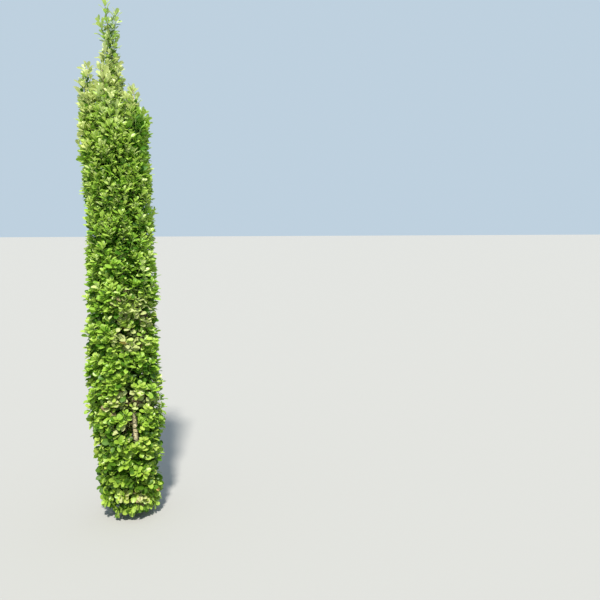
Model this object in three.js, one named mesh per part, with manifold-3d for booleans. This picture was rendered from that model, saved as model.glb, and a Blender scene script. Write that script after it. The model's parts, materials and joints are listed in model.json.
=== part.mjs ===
// A Japanese spindle tree grown as a narrow column: one trunk from a flat cut at the ground, steep boughs
// that leave it in opposite pairs, a mass of foliage on each bough, and leafy spires that end the crown.
// Millimetres, +Z up. The origin is the middle of the flat cut, and the crown's fuller side faces -X.

import * as THREE from "three";
import { mergeVertices } from "three/addons/utils/BufferGeometryUtils.js";
import Module from "manifold-3d";

const wasm = await Module();
wasm.setup();

// Trunk
const TRUNK_TOP = 2200; // the bare wood ends here, and the leader's foliage carries on
const TRUNK_BENDS = [
  [0, 0],
  [15, -4],
  [3, 5],
  [-22, 10],
  [-32, 3],
  [-28, -5],
  [-20, -2],
]; // sideways places of the trunk's middle, at equal steps from the ground to its top
const TRUNK_RADIUS = 17.5;
const TRUNK_TOP_RADIUS = 6.4;
const TRUNK_SIDES = 10; // flats round the trunk
const TRUNK_RINGS = 18;
const RING_CROWDING = 1.8; // above 1, the trunk's rings stand closer together downwards
const TRUNK_STEPS = 24; // stretches that stand for the trunk's line where distances are measured
const FLARE = 11; // how much wider the foot is than the stem above it
const FLARE_HEIGHT = 55;
const FLARE_RIDGES = 5;
const RIDGE_SHARE = 0.35;

// Crown
const CROWN_MIDDLE = [-42, 0];
const CROWN_REACH = [
  [0, 136],
  [80, 166],
  [300, 198],
  [560, 214],
  [840, 216],
  [1050, 200],
  [1400, 194],
  [1900, 192],
  [2250, 186],
  [2400, 160],
]; // a height, and how far the leaf tips reach there from the crown's middle

// Body: tiers of two opposite boughs, each with its mass
const TIERS = 8;
const FIRST_TIER = 40; // height at which the lowest pair leaves the trunk
const SECOND_TIER = 128; // the next one stands close above it, so that the skirt is full all round
const TIER_RISE = 230; // from there on
const FIRST_AZIMUTH = -38;
const TIER_TURN = 97; // each pair stands nearly square to the pair below it
const AZIMUTH_JITTER = 12;
const HEIGHT_JITTER = 22;
const BOUGH_RISE = 108; // from where a bough leaves the trunk to where its mass begins
const LOW_RISE = 34; // the same for the lowest pair
const MASS_LENGTH = 436;
const FOOT_SHARE = 0.42; // how far out a mass's stem begins, as a share of the reach there
const TIP_SHARE = 0.56; // the same for its tip
const BOUGH_RADIUS = 6.2;
const BOUGH_TIP_RADIUS = 4.2;
const BOUGH_RINGS = 3;
const BOUGH_SIDES = 5;
const BOUGH_STEPS = 6; // stretches that stand for a bough's line where distances are measured
const BOUGH_BEND = 0.14; // how far its middle is bent outwards, as a share of its length
const STEM_BEND = 0.2; // how far a stem carries on in its bough's direction, as a share of its length
const STEM_STEPS = 12; // stretches that stand for a stem's line where distances are measured
const GAP = 0.3; // clearance between pieces that meet

// Spires: the masses that end the crown, each on a bough that leaves the trunk at the height "from"
const SPIRES = [
  { name: "spire_left_low", from: 1660, foot: [-136, 50, 1800], tip: [-212, 62, 2250] },
  { name: "spire_far_right", from: 1690, foot: [62, 30, 1825], tip: [118, 24, 2362] },
  { name: "spire_left", from: 1725, foot: [-138, -46, 1850], tip: [-169, -20, 2580] },
  { name: "spire_right", from: 1760, foot: [46, -66, 1880], tip: [62, -50, 2462] },
  { name: "spire_back_right", from: 1870, foot: [18, 98, 1990], tip: [30, 98, 2400] },
  { name: "spire_back", from: 1905, foot: [-92, 98, 2025], tip: [-92, 98, 2500] },
  { name: "spire_front", from: 1940, foot: [-54, -98, 2050], tip: [-98, -60, 2560] },
];
const LEADER_TIP = [-72, 0, 2915];
const TWIGGED_TOP = 2360; // a spire's stem has twigs up to here, and whorls of its own above it
const TWIGGED_PARTS = [0.3, 0.8]; // the least and the most of its stem that has twigs
const SPIRE_RUN = [80, 30]; // how far a spire's twigs run at its foot and at its tip
const SPIRE_CORE = [50, 26]; // the most and the least radius of its core, where there is room
const SPIRE_LEAVES = [80, 54]; // leaf length where its whorls begin and at its tip
const SPIRE_SHOOT = [13, 7]; // radius of its own shoot where the whorls begin and at its tip
const WHORL_STEP = 44; // distance between whorls along it
const LEADER_SHOOTS = [
  { share: 0.6, tip: [-10, -14, 2866] },
  { share: 0.54, tip: [-124, 12, 2814] },
]; // side shoots of the leader: where on its stem each one starts, and where it ends
const SIDE_LEAVES = [50, 46]; // leaf length on them
const SIDE_WHORLS = 3;
const SIDE_BARE = 0.5; // share of a side shoot's length that is bare before its first whorl

// Foliage
const TWIG_STEP = 45; // height between twigs
const TWIG_FAN = 215; // degrees that a mass's twigs spread over, centred on the side away from the trunk
const TWIG_PARTS = [1, 0.75, 0.5]; // shares of a twig's full length, tried in turn where there is little room
const TWIG_RADII = [4.2, 4.2]; // at a twig's foot and at its tip
const TWIG_RISES = [0, 0.9]; // how much the lowest and the highest twig climb for each step outwards
const END_SHOOT = 0.84; // share of its stem where a mass's own end shoot starts
const CORE_RADIUS = 58;
const CORE_RINGS = 5;
const CORE_SIDES = 7;
const CORE_END = 0.9; // share of its stem that a core reaches
const CORE_INTO_SHOOT = 0.05; // share of its stem by which a spire's core runs into its leafy end
const STEM_RADIUS = 4.2;
const CLEARANCE = 4; // between foliage and the limbs of other pieces
const CELL_CLEARANCE = 1.5; // between foliage and the edge of its own space
const LEAST_TWIG = 8.5; // length of the shortest twig
const WHORL_APART = 72; // least distance between the whorls of one mass
const WHORL = 4; // leaves at a twig's end
const LEAF_TURN = (2 * Math.PI) / WHORL; // angle between them
const LEAF_LENGTH = 86;
const FULL_LEAVES = [LEAF_LENGTH, LEAF_LENGTH]; // leaf length at the foot and at the tip of a twig
const LEAF_WIDTH = 0.64; // share of a leaf's length, as are the two below
const LEAF_BELLY = 0.66; // where it is widest
const LEAF_THICK = 0.045;
const LEAF_SIZES = [1, 0.85, 0.7]; // tried in turn where there is little room
const LEAF_VARIES = [0.84, 1.08]; // the least and the most that chance makes of a leaf's length
const INNER_PAIR = 0.9; // length of a whorl's inner leaves, as a share of its outer ones
const LEAF_SPREADS = [72, 52]; // degrees between a twig and its outer and inner leaf pair
const WHORL_DEPTH = 0.5; // how far a whorl reaches beyond its twig, as a share of a leaf
const NOTCH = 3.8; // distance from a shoot's surface to where two leaves part
const GOLDEN = 0.618034;

// Chance: a number for each thing left to it, and how its keys are shared out among shoots
const ROLL = { azimuth: 1, height: 2, twigTurn: 5, whorlTurn: 8, leafSize: 9 };
const KEYS = { mass: 64, endShoot: 32, sideShoot: 48 };

const bark = new THREE.MeshStandardMaterial({ color: 0xb39a78, roughness: 0.9, metalness: 0 });
const youngBark = new THREE.MeshStandardMaterial({ color: 0x8d8457, roughness: 0.85, metalness: 0 });
const foliage = new THREE.MeshStandardMaterial({ color: 0x6c9a33, roughness: 0.45, metalness: 0 });

const UP = new THREE.Vector3(0, 0, 1);
const UPRIGHT = 0.9; // a direction that climbs by more than this needs a level guide
const vector = (x, y, z) => new THREE.Vector3(x, y, z);
const mix = (a, b, t) => a + (b - a) * t;
const radians = (degrees) => (degrees * Math.PI) / 180;
const turned = (direction, axis, angle) => direction.clone().applyAxisAngle(axis, angle);
const step = (point, direction, length) => point.clone().addScaledVector(direction, length);
const samples = (curve, count) => Array.from({ length: count + 1 }, (_, i) => curve.getPoint(i / count));

// A repeatable number from 0 to 1 for each row of whole numbers, by an integer hash.
function chance(...keys) {
  let h = 2166136261;
  for (const key of keys) h = Math.imul(h ^ (key + 1), 16777619);
  h = Math.imul(h ^ (h >>> 15), 2246822519);
  h = Math.imul(h ^ (h >>> 13), 3266489917);
  return ((h ^ (h >>> 16)) >>> 0) / 4294967296;
}

// The straight-line value at a place in a table of [place, value] rows.
function read(table, place) {
  const i = table.findIndex((row) => row[0] > place);
  if (i === 0) return table[0][1];
  if (i < 0) return table[table.length - 1][1];
  const [a, b] = [table[i - 1], table[i]];
  return mix(a[1], b[1], (place - a[0]) / (b[0] - a[0]));
}

// Trunk

const trunkLine = new THREE.CatmullRomCurve3(
  TRUNK_BENDS.map(([x, y], i) => vector(x, y, (i * TRUNK_TOP) / (TRUNK_BENDS.length - 1))),
  false,
  "catmullrom",
  0.5,
);
const trunkPoint = (height) => trunkLine.getPoint(Math.min(height / TRUNK_TOP, 1));

function trunkRadius(height, angle) {
  const flare = FLARE * Math.exp(-height / FLARE_HEIGHT);
  const stem = mix(TRUNK_RADIUS, TRUNK_TOP_RADIUS, Math.min(height / TRUNK_TOP, 1));
  return stem + flare * (1 + RIDGE_SHARE * Math.cos(FLARE_RIDGES * angle));
}

// The trunk's solid, or with a margin the sleeve that neighbours are cut by. Its rings are level and closer
// together at the flare.
function trunkSolid(margin) {
  const shape = new THREE.CylinderGeometry(1, 1, 1, TRUNK_SIDES, TRUNK_RINGS);
  const place = shape.attributes.position;
  for (let i = 0; i < place.count; i++) {
    const height = TRUNK_TOP * (place.getY(i) + 0.5) ** RING_CROWDING;
    const [u, v] = [place.getX(i), place.getZ(i)];
    const radius = trunkRadius(height, Math.atan2(v, u)) + margin;
    const middle = trunkPoint(height);
    place.setXYZ(i, middle.x + u * radius, middle.y - v * radius, height);
  }
  return solid(shape);
}

// Solids

function solid(geometry) {
  geometry.deleteAttribute("normal");
  geometry.deleteAttribute("uv");
  const merged = mergeVertices(geometry, 1e-3);
  const mesh = new wasm.Mesh({
    numProp: 3,
    vertProperties: new Float32Array(merged.attributes.position.array),
    triVerts: new Uint32Array(merged.index.array),
  });
  return new wasm.Manifold(mesh);
}

// A limb of round section along a curve: a cylinder whose rings are moved onto it.
function limb(curve, radius, rings, sides) {
  const shape = new THREE.CylinderGeometry(1, 1, 1, sides, rings);
  const place = shape.attributes.position;
  const side = Math.abs(curve.getTangent(0).x) < UPRIGHT ? vector(1, 0, 0) : vector(0, 1, 0);
  const frames = samples(curve, rings).map((middle, i) => {
    const along = curve.getTangent(i / rings);
    const across = step(side, along, -side.dot(along)).normalize();
    return { middle, across, third: along.clone().cross(across), radius: radius(i / rings) };
  });
  for (let i = 0; i < place.count; i++) {
    const frame = frames[Math.round((place.getY(i) + 0.5) * rings)];
    const spot = step(frame.middle, frame.across, place.getX(i) * frame.radius);
    spot.addScaledVector(frame.third, -place.getZ(i) * frame.radius);
    place.setXYZ(i, spot.x, spot.y, spot.z);
  }
  return solid(shape);
}

// A solid as a named mesh. Scraps that a cut left loose are dropped.
function piece(name, body, material) {
  const whole = body.decompose().reduce((a, b) => (a.volume() > b.volume() ? a : b));
  const { numVert, numProp, vertProperties, triVerts } = whole.getMesh();
  const corners = new Float32Array(numVert * 3);
  for (let i = 0; i < numVert; i++) {
    corners.set(vertProperties.subarray(i * numProp, i * numProp + 3), i * 3);
  }
  const geometry = new THREE.BufferGeometry();
  geometry.setAttribute("position", new THREE.BufferAttribute(corners, 3));
  geometry.setIndex(new THREE.BufferAttribute(new Uint32Array(triVerts), 1));
  geometry.computeVertexNormals();
  const mesh = new THREE.Mesh(geometry, material);
  mesh.name = name;
  return mesh;
}

// Plan of the crown: where each mass's bough and stem run

function crownPoint(height, azimuth, share) {
  const out = turned(vector(1, 0, 0), UP, radians(azimuth));
  return step(vector(CROWN_MIDDLE[0], CROWN_MIDDLE[1], height), out, read(CROWN_REACH, height) * share);
}

function bodyMass(tier, side) {
  const key = tier * 2 + side;
  const level = tier ? SECOND_TIER + (tier - 1) * TIER_RISE : FIRST_TIER;
  const from = level + chance(key, ROLL.height) * HEIGHT_JITTER;
  const jitter = (chance(key, ROLL.azimuth) - 0.5) * AZIMUTH_JITTER;
  const azimuth = FIRST_AZIMUTH + tier * TIER_TURN + side * 180 + jitter;
  const foot = from + (tier ? BOUGH_RISE : LOW_RISE);
  return {
    name: `${tier + 1}${side ? "b" : "a"}`,
    key,
    from,
    foot: crownPoint(foot, azimuth, FOOT_SHARE),
    tip: crownPoint(foot + MASS_LENGTH, azimuth, TIP_SHARE),
  };
}

function spireMass(spire, number) {
  const { name, from, foot, tip } = spire;
  return { name, key: 100 + number, from, foot: vector(...foot), tip: vector(...tip), spire: true };
}

// The bough leaves the trunk at a slant and bends upwards, and the stem carries on from its end.
function addCurves(mass) {
  const middle = trunkPoint(mass.from);
  mass.out = mass.foot.clone().sub(middle).setZ(0).normalize();
  const root = step(middle, mass.out, trunkRadius(mass.from, 0) / 2);
  const knee = root.clone().lerp(mass.foot, 0.5);
  knee.addScaledVector(mass.out, root.distanceTo(mass.foot) * BOUGH_BEND);
  mass.bough = new THREE.QuadraticBezierCurve3(root, knee, mass.foot);
  mass.boughPath = samples(mass.bough, BOUGH_STEPS);
  mass.stem = stemCurve(mass.foot, mass.bough.getTangent(1), mass.tip);
  return mass;
}

function stemCurve(foot, leave, tip) {
  const belly = step(foot, leave, foot.distanceTo(tip) * STEM_BEND);
  return new THREE.QuadraticBezierCurve3(step(foot, leave, GAP), belly, tip);
}

function leaderMass() {
  const stem = stemCurve(trunkPoint(TRUNK_TOP), trunkLine.getTangent(1), vector(...LEADER_TIP));
  return { name: "leader", key: 120, out: vector(-1, 0, 0), stem, spire: true, sideShoots: LEADER_SHOOTS };
}

function planCrown() {
  const masses = SPIRES.map(spireMass);
  for (let tier = 0; tier < TIERS; tier++) masses.push(bodyMass(tier, 0), bodyMass(tier, 1));
  masses.forEach(addCurves);
  masses.push(leaderMass());
  for (const mass of masses) {
    const [foot, tip] = [mass.stem.v0.z, mass.stem.v2.z];
    mass.path = samples(mass.stem, STEM_STEPS);
    mass.twigged = THREE.MathUtils.clamp((TWIGGED_TOP - foot) / (tip - foot), ...TWIGGED_PARTS);
  }
  return masses;
}

const trunkPath = samples(trunkLine, TRUNK_STEPS);
const crown = planCrown();

// Room: each mass keeps to the space that is nearer to its own stem than to any other

const span = new THREE.Line3();
const nearest = new THREE.Vector3();

function distance(point, path) {
  let least = Infinity;
  for (let i = 1; i < path.length; i++) {
    span.set(path[i - 1], path[i]).closestPointToPoint(point, true, nearest);
    least = Math.min(least, nearest.distanceTo(point));
  }
  return least;
}

function clearOfLimbs(point, own) {
  let least = distance(point, trunkPath) - trunkRadius(point.z, 0);
  for (const mass of crown) {
    if (mass.boughPath && mass !== own) {
      least = Math.min(least, distance(point, mass.boughPath) - BOUGH_RADIUS);
    }
  }
  return least;
}

function inSpace(point, mass) {
  if (point.z < CLEARANCE || clearOfLimbs(point, mass) < CLEARANCE) return false;
  if (mass.boughPath && distance(point, mass.boughPath) < BOUGH_RADIUS + CELL_CLEARANCE) return false;
  const own = distance(point, mass.path) + 2 * CELL_CLEARANCE;
  return crown.every((other) => other === mass || distance(point, other.path) > own);
}

// How far it is from a point to the crown's edge in a level direction
function toEdge(point, flat) {
  const [x, y] = [point.x - CROWN_MIDDLE[0], point.y - CROWN_MIDDLE[1]];
  const along = x * flat.x + y * flat.y;
  const reach = read(CROWN_REACH, point.z);
  return Math.sqrt(Math.max(0, along * along - x * x - y * y + reach * reach)) - along;
}

// A curve that follows another one, with places of its own along it.
class Stretch extends THREE.Curve {
  constructor(whole, place) {
    super();
    Object.assign(this, { whole, place });
  }

  getPoint(t) {
    return this.whole.getPoint(this.place(t));
  }

  getTangent(t) {
    return this.whole.getTangent(this.place(t));
  }
}

// Core: as wide as there is room at each place, and short of the crown's edge by the leaves' own depth
function coreRadius(mass, t) {
  const point = mass.stem.getPoint(t);
  const inside = toEdge(point, mass.out) - LEAF_LENGTH * WHORL_DEPTH;
  let room = clearOfLimbs(point, mass) - CLEARANCE;
  for (const other of crown) {
    if (other !== mass) room = Math.min(room, distance(point, other.path) / 2 - CELL_CLEARANCE);
  }
  const full = mass.spire
    ? THREE.MathUtils.clamp(inside, SPIRE_CORE[1], SPIRE_CORE[0])
    : Math.min(inside, CORE_RADIUS);
  return Math.max(STEM_RADIUS, Math.min(room, full));
}

// Its rings crowd at both ends, which makes them blunt.
function coreSolid(mass) {
  const end = mass.spire ? mass.twigged + CORE_INTO_SHOOT : CORE_END;
  const place = (t) => (end * (1 - Math.cos(Math.PI * t))) / 2;
  const radius = (t) => {
    if (t === 0 || t === 1) return STEM_RADIUS;
    const near = [-0.5, -0.25, 0, 0.25, 0.5].map((i) => place(t + i / CORE_RINGS));
    return Math.min(...near.map((share) => coreRadius(mass, share)));
  };
  return limb(new Stretch(mass.stem, place), radius, CORE_RINGS, CORE_SIDES);
}

// Foliage

// The outline of one leaf of a whorl, or nothing where it would leave its mass's space.
function leafOutline(mass, base, along, radial, spread, length) {
  const direction = along.clone().multiplyScalar(Math.cos(spread)).addScaledVector(radial, Math.sin(spread));
  const side = along.clone().cross(radial);
  for (const part of LEAF_SIZES) {
    const size = length * part;
    const belly = step(base, direction, size * LEAF_BELLY);
    const half = (size * LEAF_WIDTH) / 2;
    const outline = [step(belly, side, -half), step(base, direction, size), step(belly, side, half)];
    const spots = [base, belly, ...outline];
    const between = spots.flatMap((a, i) => spots.slice(0, i).map((b) => a.clone().lerp(b, 0.5)));
    if ([...outline, ...between].every((point) => inSpace(point, mass))) return outline;
  }
  return [];
}

// The outline of a whorl, anticlockwise round its twig, each point with the corner of the twig that it is
// joined to. Opposite leaves are alike, and the two pairs differ in size and spread. Two leaves part at the
// distance "inner" from the twig's middle. Every second whorl is turned by half the angle between leaves.
function whorlOutline(mass, { middle: base, along, across }, key, length, inner, half) {
  const outline = [];
  for (let i = 0; i < WHORL; i++) {
    const angle = (i + half / 2) * LEAF_TURN;
    const notch = turned(across, along, angle - LEAF_TURN / 2);
    const pair = i % 2 ? INNER_PAIR : 1;
    const size = length * pair * mix(...LEAF_VARIES, chance(key, ROLL.leafSize, i));
    const radial = turned(across, along, angle);
    const leaf = leafOutline(mass, base, along, radial, radians(LEAF_SPREADS[i % 2]), size);
    outline.push({ point: step(base, notch, inner), corner: i });
    leaf.forEach((point, j) => outline.push({ point, corner: (i + (j === 2 ? half : 0)) % WHORL }));
  }
  return outline;
}

// A four-sided shoot along a curve with whorls of leaves at places on it, the last one at its end, as one
// closed solid. Each whorl's outline is joined to the shoot's four corners beneath it and above it.
function shoot(mass, { curve, places, key, lengths, radii }) {
  const corners = [];
  const faces = [0, 2, 1, 0, 3, 2];
  const guide = Math.abs(curve.getTangent(0.5).z) > UPRIGHT ? vector(1, 0, 0) : UP;
  const turn = chance(key, ROLL.whorlTurn) * Math.PI;
  const frame = (t) => {
    const along = curve.getTangent(t);
    const across = step(guide, along, -guide.dot(along)).normalize();
    return { middle: curve.getPoint(t), along, across: turned(across, along, turn) };
  };
  const addRing = (t, offset) => {
    const { middle, along, across } = frame(t);
    const centre = step(middle, along, offset);
    for (let k = 0; k < WHORL; k++) {
      corners.push(step(centre, turned(across, along, k * LEAF_TURN), mix(...radii, t)));
    }
    return corners.length - WHORL;
  };
  let ring = addRing(0, 0);
  places.forEach((t, number) => {
    const length = mix(...lengths, t);
    const depth = (length * LEAF_THICK) / 2;
    const level = frame(t);
    const under = addRing(t, -depth);
    for (let a = 0; a < WHORL; a++) {
      const b = (a + 1) % WHORL;
      faces.push(ring + a, ring + b, under + b, ring + a, under + b, under + a);
    }
    const outline = whorlOutline(mass, level, key + number, length, mix(...radii, t) + NOTCH, number % 2);
    const first = corners.length;
    corners.push(...outline.map(({ point }) => point));
    const last = t === 1;
    ring = last ? corners.push(step(level.middle, level.along, depth)) - 1 : addRing(t, depth);
    outline.forEach(({ corner: a }, i) => {
      const next = (i + 1) % outline.length;
      const [b, here, there] = [outline[next].corner, first + i, first + next];
      faces.push(there, here, under + a, here, there, last ? ring : ring + a);
      if (a !== b) faces.push(under + a, under + b, there);
      if (a !== b && !last) faces.push(ring + b, ring + a, there);
    });
  });
  const shape = new THREE.BufferGeometry().setFromPoints(corners);
  shape.setIndex(faces);
  return solid(shape);
}

// Twigs run out to the crown's edge, as far as there is room. Their turn round the stem goes by the golden
// share, and on a spire they grow shorter upwards.
function twigCurve(mass, number, t, length) {
  const share = (number * GOLDEN + chance(mass.key, ROLL.twigTurn)) % 1;
  const flat = turned(mass.out, UP, radians(TWIG_FAN * (share - 0.5)));
  const root = mass.stem.getPoint(t);
  const edge = toEdge(root, flat) - length * WHORL_DEPTH;
  const full = mass.spire ? Math.min(edge, mix(...SPIRE_RUN, t)) : edge;
  for (const part of TWIG_PARTS) {
    const run = Math.max(full * part, LEAST_TWIG);
    const tip = step(root, flat, run).addScaledVector(UP, run * mix(...TWIG_RISES, t));
    const between = root.clone().lerp(tip, 0.6);
    if (inSpace(tip, mass) && inSpace(between, mass)) return new THREE.LineCurve3(root, tip);
  }
  return null;
}

// Its twigs end in one whorl each, well apart from one another.
function growTwigs(mass) {
  const reach = mass.spire ? mass.twigged : 1;
  const count = Math.round((mass.stem.getLength() * reach) / TWIG_STEP);
  const tips = [mass.stem.getPoint(1)];
  const twigs = [];
  for (let number = 0; number < count; number++) {
    const curve = twigCurve(mass, number, ((number + 0.5) / count) * reach, LEAF_LENGTH);
    if (!curve || tips.some((tip) => tip.distanceTo(curve.v2) < WHORL_APART)) continue;
    tips.push(curve.v2);
    const key = mass.key * KEYS.mass + number;
    twigs.push(shoot(mass, { curve, places: [1], key, lengths: FULL_LEAVES, radii: TWIG_RADII }));
  }
  return twigs;
}

// A body mass's stem ends in one whorl. A spire's has whorls all the way from its twigs to its tip.
function growEnd(mass) {
  const start = mass.spire ? mass.twigged : END_SHOOT;
  const curve = new Stretch(mass.stem, (t) => mix(start, 1, t));
  const key = mass.key * KEYS.mass + KEYS.endShoot;
  if (!mass.spire) return shoot(mass, { curve, places: [1], key, lengths: FULL_LEAVES, radii: TWIG_RADII });
  const count = Math.round((mass.stem.getLength() * (1 - start)) / WHORL_STEP);
  const places = Array.from({ length: count }, (_, i) => (i + 1) / count);
  return shoot(mass, { curve, places, key, lengths: SPIRE_LEAVES, radii: SPIRE_SHOOT });
}

function growSideShoot(mass, { share, tip }, number) {
  const curve = stemCurve(mass.stem.getPoint(share), mass.stem.getTangent(share), vector(...tip));
  const places = Array.from({ length: SIDE_WHORLS }, (_, i) => mix(SIDE_BARE, 1, i / (SIDE_WHORLS - 1)));
  const key = mass.key * KEYS.mass + KEYS.sideShoot + number * SIDE_WHORLS;
  return shoot(mass, { curve, places, key, lengths: SIDE_LEAVES, radii: TWIG_RADII });
}

// Twigs and core fused into one solid, clear of every limb.
function foliageSolid(mass) {
  const sideShoots = (mass.sideShoots ?? []).map((plan, number) => growSideShoot(mass, plan, number));
  const shoots = [...growTwigs(mass), growEnd(mass), ...sideShoots];
  return shoots.reduce((whole, part) => whole.add(part), coreSolid(mass)).subtract(limbs);
}

function boughSolid(mass, margin) {
  const radius = (t) => mix(BOUGH_RADIUS, BOUGH_TIP_RADIUS, t) + margin;
  return limb(mass.bough, radius, BOUGH_RINGS, BOUGH_SIDES);
}

const sleeve = trunkSolid(GAP);
const boughs = crown.filter((mass) => mass.bough);
const limbs = boughs.reduce((whole, mass) => whole.add(boughSolid(mass, GAP)), sleeve);
const tree = new THREE.Group();
tree.add(piece("trunk", trunkSolid(0), bark));
for (const mass of boughs) {
  tree.add(piece(`bough_${mass.name}`, boughSolid(mass, 0).subtract(sleeve), youngBark));
}
for (const mass of crown) {
  tree.add(piece(mass.spire ? mass.name : `foliage_${mass.name}`, foliageSolid(mass), foliage));
}

export default tree;
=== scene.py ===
# %% [markdown]
# This lesson dresses a Japanese spindle tree that is grown as a narrow column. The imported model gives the
# trunk, the boughs and one plain solid for each mass of foliage. Blender replaces them with bark that has
# relief and with thousands of real-sized leaves on fine twigs. All lengths are in metres.

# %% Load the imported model
import bpy
import json
import math
import numpy as np
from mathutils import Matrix, Quaternion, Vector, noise

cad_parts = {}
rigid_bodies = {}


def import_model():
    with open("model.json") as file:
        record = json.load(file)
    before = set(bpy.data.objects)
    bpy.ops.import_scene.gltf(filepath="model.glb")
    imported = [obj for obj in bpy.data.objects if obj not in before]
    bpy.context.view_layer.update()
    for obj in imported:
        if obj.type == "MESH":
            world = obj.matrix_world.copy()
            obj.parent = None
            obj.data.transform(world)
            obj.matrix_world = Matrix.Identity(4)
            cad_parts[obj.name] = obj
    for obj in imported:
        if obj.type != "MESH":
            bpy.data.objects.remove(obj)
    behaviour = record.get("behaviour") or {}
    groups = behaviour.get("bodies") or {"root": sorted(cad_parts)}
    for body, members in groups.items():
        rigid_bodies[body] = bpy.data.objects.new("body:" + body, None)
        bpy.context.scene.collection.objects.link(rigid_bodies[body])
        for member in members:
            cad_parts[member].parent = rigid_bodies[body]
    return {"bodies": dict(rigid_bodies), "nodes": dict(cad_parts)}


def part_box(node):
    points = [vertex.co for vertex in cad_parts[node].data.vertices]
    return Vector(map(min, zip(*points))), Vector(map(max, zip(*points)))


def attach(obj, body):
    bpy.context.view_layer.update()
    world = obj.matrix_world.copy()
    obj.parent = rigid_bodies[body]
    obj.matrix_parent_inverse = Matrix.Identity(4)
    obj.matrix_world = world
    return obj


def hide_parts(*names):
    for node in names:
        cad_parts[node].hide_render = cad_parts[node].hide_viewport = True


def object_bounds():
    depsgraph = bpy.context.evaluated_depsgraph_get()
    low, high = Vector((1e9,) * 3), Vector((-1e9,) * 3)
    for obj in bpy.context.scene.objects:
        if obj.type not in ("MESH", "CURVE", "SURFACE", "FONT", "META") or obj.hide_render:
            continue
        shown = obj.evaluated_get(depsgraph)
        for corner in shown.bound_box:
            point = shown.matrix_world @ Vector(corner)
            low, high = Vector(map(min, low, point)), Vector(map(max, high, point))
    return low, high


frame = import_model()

cad_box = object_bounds()
nodes = sorted(frame["nodes"])
bough_nodes = [name for name in nodes if name.startswith("bough_")]
mass_nodes = [name for name in nodes if name != "trunk" and name not in bough_nodes]
print(len(bough_nodes), "boughs and", len(mass_nodes), "masses of foliage, box", *cad_box)

# %% [markdown]
# The camera stands where the photographer stood: at eye height, a few steps in front of the tree, which is
# left of the middle of the picture. It could be aimed by hand, but place, turns and lens as numbers give
# the same view again. The lens is as long as the sensor is wide, which gives the photograph's angle. The
# sun's direction is set here too, because the leaves turn to it: high in front, a little from the left.

# %% Camera and the sun's direction
EYE_HEIGHT, STANDS_BACK = 1.70, 3.5675
HEADING, LOOKS_DOWN = 16.0566, 7.0  # degrees to the right of the tree's foot, and down
LENS = 36.0
SUN_FROM = Vector((-0.5, -2.9, 4.2)).normalized()

scene = bpy.context.scene


def add_object(name, data):
    made = bpy.data.objects.new(name, data)
    scene.collection.objects.link(made)
    return made


camera = add_object("camera", bpy.data.cameras.new("camera"))
camera.data.lens = camera.data.sensor_width = LENS
camera.location = (0, -STANDS_BACK, EYE_HEIGHT)
camera.rotation_euler = (math.radians(90 - LOOKS_DOWN), 0, -math.radians(HEADING))
scene.camera = camera
print("camera at", camera.location, "sun from", SUN_FROM)

# %% [markdown]
# A tree looks grown when its parts follow one rule with a little chance in it. Python's random module would
# do, but its numbers depend on the order of the calls. This function gives each twig its own number from
# its keys, so a change in one place leaves all the others as they are. It is the rule's own function, so
# the boughs and stems come out where the plain solids are.

# %% Chance and small helpers
UP, RIGHT, LEVEL = Vector((0, 0, 1)), Vector((1, 0, 0)), Vector((1, 1, 0))
WORD = 0xFFFFFFFF
HASH_START, HASH_STEP, HASH_MIX, HASH_END = 2166136261, 16777619, 2246822519, 3266489917
NEARBY = 0.02  # a small step along a line, which shows its direction


def chance(*keys):
    h = HASH_START
    for key in keys:
        h = ((h ^ (key + 1)) * HASH_STEP) & WORD
    h = ((h ^ (h >> 15)) * HASH_MIX) & WORD
    h = ((h ^ (h >> 13)) * HASH_END) & WORD
    return (h ^ (h >> 16)) / (WORD + 1)


def mix(a, b, t):
    return a + (b - a) * t


def clamp(value, low, high):
    return max(low, min(value, high))


def steps(count):
    """Even shares from 0 to 1."""
    return [i / count for i in range(count + 1)]


def turned(direction, axis, angle):
    return Quaternion(axis, angle) @ direction


def read(table, place):
    """The straight-line value at a place in a table of (place, value) rows."""
    for (a, first), (b, second) in zip(table, table[1:]):
        if place < b:
            return mix(first, second, clamp((place - a) / (b - a), 0, 1))
    return table[-1][1]


def bend(a, b, c, t):
    """The point at t on the curve from a to c that leaves towards b."""
    return a * (1 - t) ** 2 + b * (2 * t * (1 - t)) + c * t ** 2


print("the first numbers of chance:", chance(0, 1), chance(0, 2))

# %% [markdown]
# The trunk is one slender stem that sways a little on its way up, as a young tree tied in a row does. A
# smooth curve through a few level places gives its middle, and the radius shrinks evenly from the foot to
# the top, with a flare of root ridges at the ground.

# %% The trunk's line
TRUNK_TOP = 2.200
TRUNK_BENDS = [(0, 0), (0.015, -0.004), (0.003, 0.005), (-0.022, 0.010), (-0.032, 0.003), (-0.028, -0.005),
               (-0.020, -0.002)]
TRUNK_RADIUS, TRUNK_TOP_RADIUS = 0.0175, 0.0064
FLARE, FLARE_HEIGHT = 0.011, 0.055
FLARE_RIDGES, RIDGE_SHARE = 5, 0.35

bends = [Vector((*place, 0)) for place in TRUNK_BENDS]
bends = [bends[0] * 2 - bends[1], *bends, bends[-1] * 2 - bends[-2]]


def trunk_point(height):
    place = clamp(height / TRUNK_TOP, 0, 1) * (len(TRUNK_BENDS) - 1)
    i = min(int(place), len(TRUNK_BENDS) - 2)
    t = place - i
    before, a, b, after = bends[i:i + 4]
    slope_a, slope_b = (b - before) / 2, (after - a) / 2
    spot = a * (2 * t**3 - 3 * t**2 + 1) + b * (3 * t**2 - 2 * t**3)
    spot += slope_a * (t**3 - 2 * t**2 + t) + slope_b * (t**3 - t**2)
    spot.z = min(height, TRUNK_TOP)
    return spot


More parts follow.
